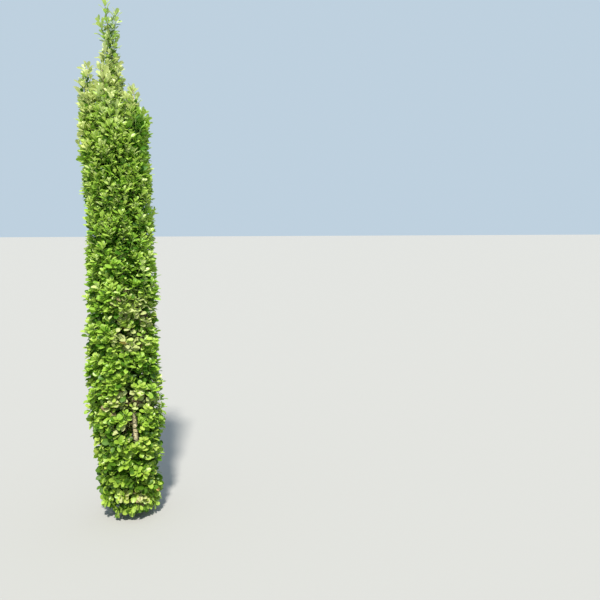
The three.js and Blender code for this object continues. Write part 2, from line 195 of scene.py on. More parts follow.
def trunk_radius(height, angle=0.0):
    flare = FLARE * math.exp(-height / FLARE_HEIGHT)
    stem = mix(TRUNK_RADIUS, TRUNK_TOP_RADIUS, clamp(height / TRUNK_TOP, 0, 1))
    return stem + flare * (1 + RIDGE_SHARE * math.cos(FLARE_RIDGES * angle))


print("the trunk's top:", trunk_point(TRUNK_TOP), "its packed box:", *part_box("trunk"))

# %% [markdown]
# The plan of the crown says where each mass of foliage stands: tiers of two opposite boughs up the trunk,
# each tier nearly square to the one below, then the spires that end the crown, and the leader on the
# trunk's own top. These numbers drive the plan, and the next step works out the rest.

# %% Sizes of the crown
CROWN_MIDDLE = Vector((-0.042, 0, 0))
CROWN_REACH = [(0, 0.136), (0.080, 0.166), (0.300, 0.198), (0.560, 0.214), (0.840, 0.216), (1.050, 0.200),
               (1.400, 0.194), (1.900, 0.192), (2.250, 0.186), (2.400, 0.160)]  # by height
TIERS = 8
FIRST_TIER, SECOND_TIER, TIER_RISE = 0.040, 0.128, 0.230
FIRST_AZIMUTH, TIER_TURN, AZIMUTH_JITTER, HEIGHT_JITTER = -38, 97, 12, 0.022
BOUGH_RISE, LOW_RISE = 0.108, 0.034
MASS_LENGTH = 0.436
FOOT_SHARE, TIP_SHARE = 0.42, 0.56
BOUGH_BEND, STEM_BEND = 0.14, 0.2
SPIRES = [  # the height where its bough leaves the trunk, its foot and its tip
    ("spire_left_low", 1.660, (-0.136, 0.050, 1.800), (-0.212, 0.062, 2.250)),
    ("spire_far_right", 1.690, (0.062, 0.030, 1.825), (0.118, 0.024, 2.362)),
    ("spire_left", 1.725, (-0.138, -0.046, 1.850), (-0.169, -0.020, 2.580)),
    ("spire_right", 1.760, (0.046, -0.066, 1.880), (0.062, -0.050, 2.462)),
    ("spire_back_right", 1.870, (0.018, 0.098, 1.990), (0.030, 0.098, 2.400)),
    ("spire_back", 1.905, (-0.092, 0.098, 2.025), (-0.092, 0.098, 2.500)),
    ("spire_front", 1.940, (-0.054, -0.098, 2.050), (-0.098, -0.060, 2.560)),
]
LEADER_TIP = (-0.072, 0, 2.915)
TWIGGED_TOP, TWIGGED_PARTS = 2.360, (0.3, 0.8)  # a spire's twigs end at this height, within these shares
SPIRE_END = 0.98  # share of the stem where a spire's leaves end
ROLL_AZIMUTH, ROLL_HEIGHT = 1, 2  # each roll of chance has its own last key
LEADER_KEY, SPIRE_KEYS = 120, 100
print(TIERS, "tiers and", len(SPIRES), "spires")

# %% [markdown]
# Each mass has a bough that leaves the trunk and a stem that carries it on, and both are bends through
# three points. They could be drawn by hand as Bezier curves, but worked out from the plan they lie where
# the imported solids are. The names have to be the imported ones, or the script stops.

# %% Boughs and stems from the plan
def crown_point(height, azimuth, share):
    out = turned(RIGHT, UP, math.radians(azimuth))
    return CROWN_MIDDLE + UP * height + out * (read(CROWN_REACH, height) * share)


def mass_plan(name, key, start, foot, tip):
    """Where a mass's bough and stem run, each as three points of a bend."""
    middle = trunk_point(start)
    out = ((foot - middle) * LEVEL).normalized()
    root = middle + out * (trunk_radius(start) / 2)
    knee = root.lerp(foot, 0.5) + out * ((foot - root).length * BOUGH_BEND)
    leave = (foot - knee).normalized()
    stem = (foot, foot + leave * ((tip - foot).length * STEM_BEND), tip)
    spire = key >= SPIRE_KEYS
    return {"name": name, "key": key, "out": out, "bough": (root, knee, foot), "stem": stem, "spire": spire}


masses = []
for number, (name, start, foot, tip) in enumerate(SPIRES):
    masses.append(mass_plan(name, SPIRE_KEYS + number, start, Vector(foot), Vector(tip)))
for key in range(2 * TIERS):
    tier, side = divmod(key, 2)
    level = SECOND_TIER + (tier - 1) * TIER_RISE if tier else FIRST_TIER
    start = level + chance(key, ROLL_HEIGHT) * HEIGHT_JITTER
    jitter = (chance(key, ROLL_AZIMUTH) - 0.5) * AZIMUTH_JITTER
    azimuth = FIRST_AZIMUTH + tier * TIER_TURN + side * 180 + jitter
    height = start + (BOUGH_RISE if tier else LOW_RISE)
    foot = crown_point(height, azimuth, FOOT_SHARE)
    tip = crown_point(height + MASS_LENGTH, azimuth, TIP_SHARE)
    masses.append(mass_plan(f"foliage_{tier + 1}{'ab'[side]}", key, start, foot, tip))
top = trunk_point(TRUNK_TOP)
leave = (top - trunk_point(TRUNK_TOP - NEARBY)).normalized()
tip = Vector(LEADER_TIP)
masses.append({"name": "leader", "key": LEADER_KEY, "out": -RIGHT, "bough": None, "spire": True,
               "stem": (top, top + leave * ((tip - top).length * STEM_BEND), tip)})
for mass in masses:
    foot, tip = mass["stem"][0].z, mass["stem"][2].z
    mass["twigged"] = clamp((TWIGGED_TOP - foot) / (tip - foot), *TWIGGED_PARTS)
    mass["end"] = SPIRE_END if mass["spire"] and mass["bough"] else 1
assert sorted(mass["name"] for mass in masses) == mass_nodes

# %% [markdown]
# The bark is a tube with relief. A modifier with a texture could raise it, but a young spindle's bark has
# its own figure: fine upright furrows, with a swollen ring where a pair of boughs leaves. So the relief is
# worked out for each point, as real geometry that shows in the outline.

# %% Tubes and joined pieces
BODY = next(iter(frame["bodies"]))
NEARLY_RIGHT = 0.9


def tube(points, radii, sides, relief=None):
    """Vertices and faces of one tapering tube with flat ends."""
    verts, faces = [], []
    side = RIGHT if abs((points[1] - points[0]).normalized().x) < NEARLY_RIGHT else Vector((0, 1, 0))
    for i, (middle, radius) in enumerate(zip(points, radii)):
        along = (points[min(i + 1, len(points) - 1)] - points[max(i - 1, 0)]).normalized()
        side = (side - along * side.dot(along)).normalized()
        third = along.cross(side)
        for k in range(sides):
            angle = 2 * math.pi * k / sides
            r = relief(middle, angle, radius) if relief else radius
            verts.append(middle + side * (r * math.cos(angle)) + third * (r * math.sin(angle)))
    for i in range(len(points) - 1):
        for k in range(sides):
            a, b = i * sides + k, i * sides + (k + 1) % sides
            faces.append((a, b, b + sides, a + sides))
    faces += [tuple(range(sides))[::-1], tuple(range(len(verts) - sides, len(verts)))]
    return verts, faces


def mesh_piece(name, parts, material, slot, *replaced):
    """One joined piece from many (vertices, faces), riding on the tree's body."""
    verts, faces = [], []
    for part_verts, part_faces in parts:
        start = len(verts)
        verts.extend(part_verts)
        faces.extend(tuple(start + i for i in face) for face in part_faces)
    mesh = bpy.data.meshes.new(name)
    mesh.from_pydata(verts, [], faces)
    mesh.shade_smooth()
    mesh.materials.append(material)
    piece = add_object(name, mesh)
    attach(piece, BODY)
    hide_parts(*replaced)
    print(name, len(verts), "points", len(faces), "faces")
    return mesh


print("every piece rides on the body", BODY)

# %% [markdown]
# A material in Blender is a small graph of nodes. These helpers add a node, link or set its inputs, and
# hand back the output that the next node takes, which keeps the recipes short.

# %% Helpers for materials
def feed(tree, node, *in_order, **by_name):
    """Sets a node's inputs, or links them to the outputs of other nodes."""
    for key, value in (*enumerate(in_order), *by_name.items()):
        socket = node.inputs[key.replace("_", " ") if isinstance(key, str) else key]
        if isinstance(value, bpy.types.NodeSocket):
            tree.links.new(value, socket)
        else:
            socket.default_value = value


def add_node(tree, kind, output, *in_order, **by_name):
    node = tree.nodes.new("ShaderNode" + kind)
    feed(tree, node, *in_order, **by_name)
    return node.outputs[output]


def new_material(name):
    material = bpy.data.materials.new(name)
    material.use_nodes = True
    return material, material.node_tree, material.node_tree.nodes["Principled BSDF"]


def ramp_node(tree, value, places, colours):
    ramp = add_node(tree, "ValToRGB", "Color", value)
    elements = ramp.node.color_ramp.elements
    for place in places[1:-1]:
        elements.new(place)
    for element, place, colour in zip(elements, places, colours):
        element.position, element.color = place, (*colour, 1)
    return ramp


def math_node(tree, operation, *values):
    node = tree.nodes.new("ShaderNodeMath")
    node.operation = operation
    feed(tree, node, *values)
    return node.outputs["Value"]


def ranged(tree, value, low, high, to_low, to_high):
    return add_node(tree, "MapRange", "Result", value, low, high, to_low, to_high)


print("helpers for ramps, sums and ranges")

# %% [markdown]
# Bark is matt and uneven: pale tan in blotches, darker in the furrows. Two noises do that, one stretched
# along the trunk for the furrows and one round for the blotches. The trunk's colours are paler than bark
# is, partly its own pale tan and partly painted sunlight on the bare strip. Young wood is smoother and
# greener, so it gets the same recipe with other colours and a finer figure.

# %% Wood materials
WOOD_PLACES = (0.48, 0.72, 0.98)
FURROW_SHARE = 0.6


def wood(name, dark, middle, pale, stretch, rough):
    material, tree, shader = new_material(name)
    place = add_node(tree, "TexCoord", "Object")
    upright = add_node(tree, "Mapping", "Vector", Vector=place, Scale=(1, 1, stretch))
    furrow = add_node(tree, "TexNoise", "Fac", Vector=upright, Scale=260.0, Detail=5.0, Roughness=0.6)
    blotch = add_node(tree, "TexNoise", "Fac", Vector=place, Scale=38.0, Detail=3.0)
    both = math_node(tree, "MULTIPLY_ADD", furrow, FURROW_SHARE, blotch)
    colour = ramp_node(tree, both, WOOD_PLACES, (dark, middle, pale))
    relief = add_node(tree, "Bump", "Normal", Height=furrow, Strength=0.45, Distance=0.001)
    feed(tree, shader, Base_Color=colour, Normal=relief, Roughness=rough)
    return material


# The trunk's colours: its own pale tan, made paler still as painted sunlight.
bark = wood("painted_sun_tan_bark", (0.54, 0.42, 0.225), (0.83, 0.72, 0.42), (0.92, 0.85, 0.56), 0.16, 0.85)
young_bark = wood("young_bark", (0.13, 0.095, 0.045), (0.30, 0.24, 0.12), (0.48, 0.40, 0.22), 0.3, 0.7)
green_wood = wood("green_wood", (0.07, 0.12, 0.02), (0.14, 0.22, 0.04), (0.24, 0.32, 0.08), 0.5, 0.5)
print("wood:", bark.name, young_bark.name, green_wood.name)

# %% [markdown]
# The trunk shows only in one bare strip low down, but there it is close and sunlit, so it gets the most
# relief: furrows from two noises, a knot where each bough leaves, and the root ridges of the flare. The
# rings of the tube stand closer near the ground, where the flare bends the outline most.

# %% The trunk
TRUNK_SIDES, TRUNK_RINGS, RING_CROWDING = 40, 330, 1.25
FURROW_DEPTH = 0.07  # share of the radius
COARSE, COARSE_UP, FINE, FINE_UP, FINE_SHARE = 3.2, 9, 7, 26, 0.6  # the noises' scales round and up
KNOT_SWELL, KNOT_HEIGHT = 0.16, 0.012
EVEN_ANGLE = math.pi / 2 / FLARE_RIDGES  # between a ridge and a hollow

knots = [mass["bough"][0].z for mass in masses if mass["bough"]]


def trunk_relief(middle, angle, radius):
    around = Vector((math.cos(angle), math.sin(angle), 0))
    fine = noise.noise(around * COARSE + UP * (middle.z * COARSE_UP))
    fine += FINE_SHARE * noise.noise(around * FINE + UP * (middle.z * FINE_UP))
    knot = sum(math.exp(-((middle.z - z) / KNOT_HEIGHT) ** 2) for z in knots)
    flare = trunk_radius(middle.z, angle) - trunk_radius(middle.z, EVEN_ANGLE)
    return radius * (1 + FURROW_DEPTH * fine + KNOT_SWELL * min(knot, 1)) + flare


heights = [TRUNK_TOP * t ** RING_CROWDING for t in steps(TRUNK_RINGS)]
trunk_radii = [trunk_radius(h, EVEN_ANGLE) for h in heights]
trunk_part = tube([trunk_point(h) for h in heights], trunk_radii, TRUNK_SIDES, trunk_relief)
mesh_piece("trunk_bark", [trunk_part], bark, "bark", "trunk")

# %% [markdown]
# Each bough leaves the trunk at a slant and turns upwards into the stem of its mass, so on the real tree
# the two are one limb. The solids part them where the foliage begins, and here they become one tapering
# tube again, as thin as a twig at the tip.

# %% The boughs and stems
LIMB_SIDES, LIMB_STEPS = 10, 16
BOUGH_RADIUS, BOUGH_TIP_RADIUS, STEM_TIP_RADIUS, STEM_TAPER = 0.0062, 0.0042, 0.0016, 0.8
LIMB_RELIEF, LIMB_AROUND, LIMB_ALONG = 0.12, 1.5, 60


def limb_relief(middle, angle, radius):
    around = Vector((math.cos(angle), math.sin(angle), 0))
    return radius * (1 + LIMB_RELIEF * noise.noise(around * LIMB_AROUND + middle * LIMB_ALONG))


limb_parts = []
for mass in masses:
    stem = [bend(*mass["stem"], mass["end"] * t) for t in steps(LIMB_STEPS)]
    foot_radius = BOUGH_TIP_RADIUS if mass["bough"] else TRUNK_TOP_RADIUS
    radii = [mix(foot_radius, STEM_TIP_RADIUS, t ** STEM_TAPER) for t in steps(LIMB_STEPS)]
    if mass["bough"]:
        stem = [bend(*mass["bough"], t) for t in steps(LIMB_STEPS)[:-1]] + stem
        radii = [mix(BOUGH_RADIUS, foot_radius, t) for t in steps(LIMB_STEPS)[:-1]] + radii
    limb_parts.append(tube(stem, radii, LIMB_SIDES, limb_relief))
mesh_piece("bough_bark", limb_parts, young_bark, "young_bark", *bough_nodes)

# %% [markdown]
# A twig runs from its stem to the crown's edge. A clipped hedge would end in a smooth face, but here soft
# noise makes whole sprays stand out or lie back, and the dark between them shows. Near the ground, where
# the leaves are largest, the twigs end further in, so that the leaves reach the same edge.

# %% How far a shoot runs
TIP_DEPTHS = [(0, 0.027), (0.34, 0.024), (0.60, 0.018)]  # from a twig's end to the edge, by height
SPRAY_SIZE = 0.060  # of the soft noise that moves the sprays in and out
SPRAY_DEPTH, SPRAY_BACK, SPRAY_SWING = 0.033, 0.36, 1.1
LEAN = [(0, 0.016), (0.12, 0.030), (0.30, 0.024), (0.60, 0.012), (0.95, 0.003), (1.25, 0.015),
        (1.75, 0.018), (2.00, 0.002), (2.20, -0.010)]  # how far the twigs stand to the right, by height
KNEE_OUT, KNEE_UP = 0.72, 0.22


def to_edge(point, flat):
    """How far it is from a point to the crown's edge in a level direction."""
    x, y = point.x - CROWN_MIDDLE.x - read(LEAN, point.z), point.y - CROWN_MIDDLE.y
    along = x * flat.x + y * flat.y
    reach = read(CROWN_REACH, point.z)
    return math.sqrt(max(0, along * along - x * x - y * y + reach * reach)) - along


def length_of(curve, pieces=8):
    points = [bend(*curve, t) for t in steps(pieces)]
    return sum((b - a).length for a, b in zip(points, points[1:]))


def twig_curve(root, flat, run, rise):
    """A shoot that starts outwards and bends up to its tip."""
    tip = root + flat * run + UP * (run * rise)
    knee = root + flat * (run * KNEE_OUT) + UP * (run * rise * KNEE_UP)
    return (root, knee, tip)


def free_run(root, flat, height, varies=0.0):
    """How far a shoot may run, varied by noise at the place on the edge that it would reach."""
    edge = to_edge(root, flat)
    swing = noise.noise((root + flat * edge) / SPRAY_SIZE) * SPRAY_SWING
    return edge - read(TIP_DEPTHS, height) + varies - SPRAY_DEPTH * (SPRAY_BACK - swing)


print("from the trunk to the crown's edge at 1 m:", to_edge(trunk_point(1), RIGHT))

# %% [markdown]
# Twigs leave each stem one after another, turning round it by the golden share of a fan that faces away
# from the trunk. That is the rule of the plain solids, carried here to about three times as many twigs.
# They turn upwards as they go, and each can fork into a pair of side shoots, as a plant with opposite
# leaves does. Each shoot is kept with its curve, its key for chance, its order and its spray's number,
# which will decide its colours.

# %% Twigs and forks
GOLDEN, TWIG_STEP, TWIG_FAN = 0.618034, 0.045, 215
FINER = (3.2, 2.6, 2.6, 2.7, 3.1, 3.2, 3.3, 3.3)  # twigs here for each one of the solids, tier by tier
SPIRE_RUN = (0.080, 0.030)
LEAST_RUN, FORKED_RUN, STEEP_RUN = 0.012, 0.05, 0.11  # longer twigs than the last one rise less steeply
LOW_RISES, TOP_RISES = (0.50, 1.20), (0.80, 1.70)  # of the twigs along a stem, at the ground and higher up
SKIRT_MASSES, SKIRT_RISES = 4, (-0.05, 1.0)
STEEP_FROM = 1.5  # the height above which the twigs are at their steepest
FORK_AT, FORK_TURN, FORK_CHANCE, FORK_LENGTH = 0.34, 44, 0.72, 0.72
FORK_TURNS, FORK_RISES, FORK_SPRAY = (0.8, 1.2), (0.6, 1.3), 0.2
REACH_VARIES, RISE_VARIES = 0.012, 0.5
ROLL_REACH, ROLL_RISE, ROLL_TWIG, ROLL_SPRAY, ROLL_FORK, ROLL_TURN, ROLL_FORK_RISE = 3, 4, 5, 6, 7, 8, 11
AXIS, TWIG, FORK, SIDE_SHOOT, INNER = range(5)  # a shoot's order

shoots = []


def add_shoot(curve, key, spray, out, order):
    shoots.append({"curve": curve, "key": key, "spray": spray % 1, "out": out, "order": order})


def add_forks(twig, key, flat, run, rise, spray):
    fork = bend(*twig, FORK_AT)
    for side in (-1, 1):
        turn = side * FORK_TURN * mix(*FORK_TURNS, chance(*key, ROLL_TURN + side))
        way = turned(flat, UP, math.radians(turn))
        length = min(run * FORK_LENGTH, free_run(fork, way, twig[0].z))
        if length >= LEAST_RUN:
            steep = rise * mix(*FORK_RISES, chance(*key, ROLL_FORK_RISE + side))
            curve = twig_curve(fork, way, length, steep)
            add_shoot(curve, (*key, 2 + side), spray + FORK_SPRAY * side, way, FORK)


for mass in masses:
    key, out = mass["key"], mass["out"]
    reach = mass["twigged"] if mass["spire"] else 1
    finer = FINER[-1] if mass["spire"] else FINER[key // 2]
    count = round(length_of(mass["stem"]) * reach / TWIG_STEP * finer)
    up = clamp(mass["stem"][0].z / STEEP_FROM, 0, 1)
    low, high = (mix(a, b, up) for a, b in zip(LOW_RISES, TOP_RISES))
    if key < SKIRT_MASSES:
        low, high = SKIRT_RISES
    for number in range(count):
        t = (number + 0.5) / count * reach
        share = (number * GOLDEN + chance(key, ROLL_TWIG)) % 1
        flat = turned(out, UP, math.radians(TWIG_FAN * (share - 0.5)))
        root = bend(*mass["stem"], t)
        run = free_run(root, flat, root.z, (chance(key, number, ROLL_REACH) - 0.5) * 2 * REACH_VARIES)
        if mass["spire"]:
            run = min(run, mix(*SPIRE_RUN, t))
        run = max(run, LEAST_RUN)
        rise = mix(low, high, t) + (chance(key, number, ROLL_RISE) - 0.5) * RISE_VARIES
        rise *= min(1, STEEP_RUN / run)
        twig = twig_curve(root, flat, run, rise)
        spray = chance(key, number, ROLL_SPRAY)
        add_shoot(twig, (key, number), spray, flat, TWIG)
        if run >= FORKED_RUN and chance(key, number, ROLL_FORK) <= FORK_CHANCE:
            add_forks(twig, (key, number), flat, run, rise, spray)
print(len(shoots), "twigs and forks on", len(masses), "stems")

# %% [markdown]
# Inside the crown stand old sprays in deep shade, on the stems and on the trunk, with the spray number 0.
# They are the dark between the outer leaves, and without them one would see through the tree. Their leaves
# are mostly deep green, partly as old leaves are and partly as painted shade. A dark core would hide the
# gaps too, but it would look like a wall where the leaves are thin.

# %% Inner sprays
INNER_STEP = 0.016
INNER_SHARE, INNER_RUN, INNER_RISE = (0.30, 0.62), 0.12, 0.7
INNER_PART = 0.7  # of the part of a spire that has twigs
TRUNK_SPRAYS, TRUNK_SPRAYS_FROM, TRUNK_CROWDING = 170, 0.05, 1.3
INNER_KEYS, TRUNK_KEY, ROLL_INNER = 500, 200, 14


def all_round(number):
    """A level direction that turns by the golden share of a circle."""
    return turned(RIGHT, UP, math.radians(360 * ((number * GOLDEN) % 1)))


def inner_spray(root, key, number):
    flat = all_round(number)
    run = min(to_edge(root, flat) * mix(*INNER_SHARE, chance(key, number, ROLL_INNER)), INNER_RUN)
    add_shoot(twig_curve(root, flat, run, INNER_RISE), (key, INNER_KEYS + number), 0.0, flat, INNER)


for mass in masses[:-1]:
    reach = mass["twigged"] * INNER_PART if mass["spire"] else 1
    count = round(length_of(mass["stem"]) * reach / INNER_STEP)
    for number in range(count):
        inner_spray(bend(*mass["stem"], (number + 0.5) / count * reach), mass["key"], number)
for number in range(TRUNK_SPRAYS):
    height = mix(TRUNK_SPRAYS_FROM, TRUNK_TOP, (number / TRUNK_SPRAYS) ** TRUNK_CROWDING)
    inner_spray(trunk_point(height), TRUNK_KEY, number)
print(len(shoots), "shoots with the inner ones")

# %% [markdown]
# The lowest boughs leave the trunk above the ground, so low shoots from the trunk itself fill the skirt
# below them. They run nearly level to the crown's edge, and some hang a little.

# %% Skirt shoots
SKIRT_SHOOTS, SKIRT_KEY = 34, 210
SKIRT_HEIGHTS, TRUNK_SHOOT_RISES = (0.045, 0.240), (-0.1, 0.5)
ROLL_SKIRT_RISE, ROLL_SKIRT_SPRAY = 15, 16

for number in range(SKIRT_SHOOTS):
    flat = all_round(number)
    root = trunk_point(mix(*SKIRT_HEIGHTS, number / SKIRT_SHOOTS))
    rise = mix(*TRUNK_SHOOT_RISES, chance(number, ROLL_SKIRT_RISE))
    curve = twig_curve(root, flat, free_run(root, flat, root.z), rise)
    add_shoot(curve, (SKIRT_KEY, number), chance(number, ROLL_SKIRT_SPRAY), flat, TWIG)
print(len(shoots), "shoots with the skirt's")

# %% [markdown]
# A spire is its stem's own leafy end: above its twigs the stem goes on to the tip, and side shoots stand
# close along it, long at its foot and short at its tip, so it tapers. Next to the spires stand young shoots
# that rise from the same stems and end lower. The photograph shows where their tips are, and they join the
# spires into one ragged cone.

# %% Tips of the young shoots
YOUNG_SHOOTS = {  # for each stem, the share of it where a shoot leaves, and the shoot's tip
    "leader": [
        (0.60, -0.014, -0.014, 2.846), (0.62, -0.104, 0.012, 2.806), (0.34, -0.078, -0.030, 2.655),
        (0.28, -0.096, 0.020, 2.620), (0.14, -0.102, -0.040, 2.552), (0.06, -0.126, 0.015, 2.474),
        (0.12, -0.092, -0.060, 2.495), (0.36, -0.020, 0.012, 2.616), (0.26, -0.012, -0.024, 2.556),
        (0.16, -0.006, 0.020, 2.486), (0.10, -0.040, -0.052, 2.462), (0.05, -0.052, 0.048, 2.440)],
    "spire_left": [
        (0.66, -0.204, -0.020, 2.464), (0.56, -0.198, 0.006, 2.400), (0.44, -0.188, -0.044, 2.335),
        (0.56, -0.150, -0.040, 2.440), (0.50, -0.150, 0.020, 2.450), (0.44, -0.172, -0.062, 2.395)],
    "spire_right": [(0.62, 0.020, -0.060, 2.405), (0.56, 0.068, -0.040, 2.340), (0.50, 0.050, -0.082, 2.340)],
    "spire_far_right": [(0.60, 0.136, 0.020, 2.300), (0.55, 0.086, 0.030, 2.290)],
    "spire_left_low": [(0.60, -0.196, 0.030, 2.150)],
    "spire_front": [
        (0.55, -0.060, -0.090, 2.420), (0.60, -0.120, -0.082, 2.440), (0.40, -0.020, -0.100, 2.330),
        (0.35, -0.100, -0.110, 2.310)],
    "spire_back": [(0.60, -0.120, 0.090, 2.400), (0.50, -0.060, 0.110, 2.360)],
    "spire_back_right": [(0.55, 0.060, 0.090, 2.310)],
}
young = [(name, *row) for name, rows in YOUNG_SHOOTS.items() for row in rows]
print(len(young), "young shoots")

# %% [markdown]
# Spires and young shoots are built the same way: the axis is one long shoot, and small shoots leave it in
# opposite pairs, each nearly square to the last. A particle system could scatter them, but not in pairs.

# %% Leafy ends
PAIR_STEP, FIRST_PAIR, PAIR_TURN, PAIR_VARIES = 0.036, 0.3, 97, 40
SPIRE_SIDE_RUN, SPIRE_SIDE_RISE, SPIRE_VIGOUR = (0.058, 0.010), 1.7, 0.95
SIDE_RUNS = {"leader": (0.020, 0.008), "spire_right": (0.036, 0.005), "spire_far_right": (0.036, 0.006)}
YOUNG_SIDE_RUN, YOUNG_SIDE_RISE, YOUNG_VIGOURS = (0.026, 0.008), 1.6, (0.7, 0.99)
YOUNG_AHEAD, YOUNG_KNEE, YOUNG_LEAN = 0.05, 0.3, 0.2
SIDE_SIZES, FOOT_VIGOUR, LEAST_VIGOUR = (0.6, 1.15), 0.75, 0.75
LEAFY_FROM = 0.9  # of the part of a spire that has twigs
AXIS_KEY, SIDE_KEYS, YOUNG_KEYS = 900, 1000, 130
ROLL_PAIR, ROLL_SIDE_SIZE, ROLL_VIGOUR, ROLL_YOUNG = 20, 21, 23, 24


def part_of(curve, start, end):
    """The part of a bend between two places on it, as a bend of its own."""
    a, b, c = curve
    knee = a.lerp(b, start).lerp(b.lerp(c, start), end)
    return (bend(a, b, c, start), knee, bend(a, b, c, end))


def clothe(curve, key, out, runs, rise, vigour):
    add_shoot(curve, (key, AXIS_KEY), vigour, out, AXIS)
    count = round(length_of(curve) / PAIR_STEP)
    for number in range(count):
        t = (number + FIRST_PAIR) / count
        spot = bend(*curve, t)
        for side in (0, 1):
            angle = number * PAIR_TURN + side * 180 + PAIR_VARIES * chance(key, number, ROLL_PAIR)
            flat = turned(RIGHT, UP, math.radians(angle))
            run = mix(*runs, t) * mix(*SIDE_SIZES, chance(key, number, ROLL_SIDE_SIZE + side))
            spray = vigour * mix(FOOT_VIGOUR, 1, t) * mix(LEAST_VIGOUR, 1, chance(key, number, ROLL_VIGOUR))
            side_key = (key, SIDE_KEYS + number * 2 + side)
            add_shoot(twig_curve(spot, flat, run, rise), side_key, spray, flat, SIDE_SHOOT)


for mass in masses:
    if mass["spire"]:
        runs = SIDE_RUNS.get(mass["name"], SPIRE_SIDE_RUN)
        leafy = part_of(mass["stem"], mass["twigged"] * LEAFY_FROM, mass["end"])
        clothe(leafy, mass["key"], mass["out"], runs, SPIRE_SIDE_RISE, SPIRE_VIGOUR)
stems = {mass["name"]: mass["stem"] for mass in masses}
for number, (name, share, *tip) in enumerate(young):
    start, ahead = bend(*stems[name], share), bend(*stems[name], share + YOUNG_AHEAD)
    whole = Vector(tip) - start
    knee = start + (ahead - start).normalized() * (whole.length * YOUNG_KNEE) + whole * YOUNG_LEAN
    vigour = mix(*YOUNG_VIGOURS, chance(number, ROLL_YOUNG))
    curve, out = (start, knee, Vector(tip)), (whole * LEVEL).normalized()
    clothe(curve, YOUNG_KEYS + number, out, YOUNG_SIDE_RUN, YOUNG_SIDE_RISE, vigour)
print(len(shoots), "shoots with the spires'")

# %% [markdown]
# The photograph shows three stretches where the leaves have bleached and thinned, and a narrow gap where
# the bare trunk shows. To put them where the picture has them, a leaf's place is carried along the line of
# sight to the upright plane through the trunk, and measured there. The same is done from the sun, because
# a strip of trunk that the sun doesn't reach would stay dark.

# %% Stretches and gaps seen from the front
BLEACHED = [  # x, height, half width, half height, and share of the leaves that have bleached
    (0.015, 1.17, 0.120, 0.19, 0.66), (0.000, 1.03, 0.110, 0.08, 0.95), (-0.015, 0.680, 0.150, 0.08, 0.98),
    (-0.045, 0.51, 0.080, 0.07, 0.80), (-0.010, 0.09, 0.100, 0.06, 0.60)]
BLEACHED_EDGE, BLEACHED_BEHIND = 1.6, 0.35
FRONT_TO = 0.02  # how far back the front goes
GAP_X, GAP_Z, GAP_WIDE, GAP_HIGH = 0.009, 0.515, 0.015, 0.085
SUN_GAP = 0.010  # half the width of the gap that lets the sun reach the bare trunk
SUN_EYE = SUN_FROM * 100  # an eye far off in the sun's direction


def seen_from(eye, spot):
    """Where a place is seen from an eye, on the upright plane through the trunk."""
    on = eye + (spot - eye) * (-eye.y / (spot.y - eye.y))
    return on.x, on.z


def in_gap(spot, margin, eye=camera.location, wide=GAP_WIDE):
    x, z = seen_from(eye, spot)
    return spot.y < FRONT_TO and abs(x - GAP_X) < wide + margin and abs(z - GAP_Z) < GAP_HIGH + margin


def bleached(spot):
    share = 0
    x, z = seen_from(camera.location, spot)
    for bx, bz, wide, high, most in BLEACHED:
        off = ((x - bx) / wide) ** 2 + ((z - bz) / high) ** 2
        share = max(share, most * clamp(BLEACHED_EDGE * (1 - off), 0, 1))
    return share if spot.y < FRONT_TO else share * BLEACHED_BEHIND


print("the bare strip is", 2 * GAP_WIDE, "wide and", 2 * GAP_HIGH, "high")

# %% [markdown]
# Leaves are sorted into kinds by colour, and each kind becomes pieces of its own. A leaf's vigour decides:
# it grows with the number of its spray and with height and shrinks down the shoot, so whole sprays match
# and their tips look youngest. The leader's end is greener than the spires beside it. Near the top, the
# left flank gets lighter kinds as painted sunlight, and the right flank darker ones as painted shade.
# Bleached stretches turn pale outside and dry inside.

# %% Kinds of leaves
KINDS = ("deep", "mid", "bright", "tip", "fresh", "pale", "amber", "dry")
SPRAY_WEIGHT, ROLL_WEIGHT, PAIR_WEIGHT = 0.62, 0.18, 0.045
VIGOUR_HEIGHTS = [(0, -0.10), (1.0, 0.16), (2.51, 0.61), (2.53, 0.77), (2.60, 0.77), (2.66, 0.31)]
# Painted light and shade near the top: the left flank gets lighter kinds as painted sunlight, and the top of
# the right flank darker ones as painted shade.
SIDES_FROM = 2.06  # the height above which the two flanks differ
SUNNY_SIDE, PAINTED_SUN_VIGOUR = -0.150, 0.15
SHADY_SIDE, PAINTED_SHADE_VIGOUR = [(2.25, 0.060), (2.35, 0.100)], -0.54
DRIED = 0.6  # share of the inner leaves that are brown where the outer ones have bleached
PALE_TIP, PALE, PALE_BRIGHT = 0.35, 0.60, 0.88  # shares of the bleached leaves
AMBER = 0.999
INNER_DEEP = (0.97, 0.40)  # share of the inner leaves that are deep, up to 1 m and above 2 m
TUFT_PAIRS, OLD_VIGOUR, OLD_ROLL = 5, 0.3, 0.25  # the pairs below these are last year's, and darker
FRESH_FROM, TIP_PAIRS = 2.10, 3
FRESH, TIP, BRIGHT, MID = 1.00, 0.86, 0.50, 0.12  # the least vigour of each kind


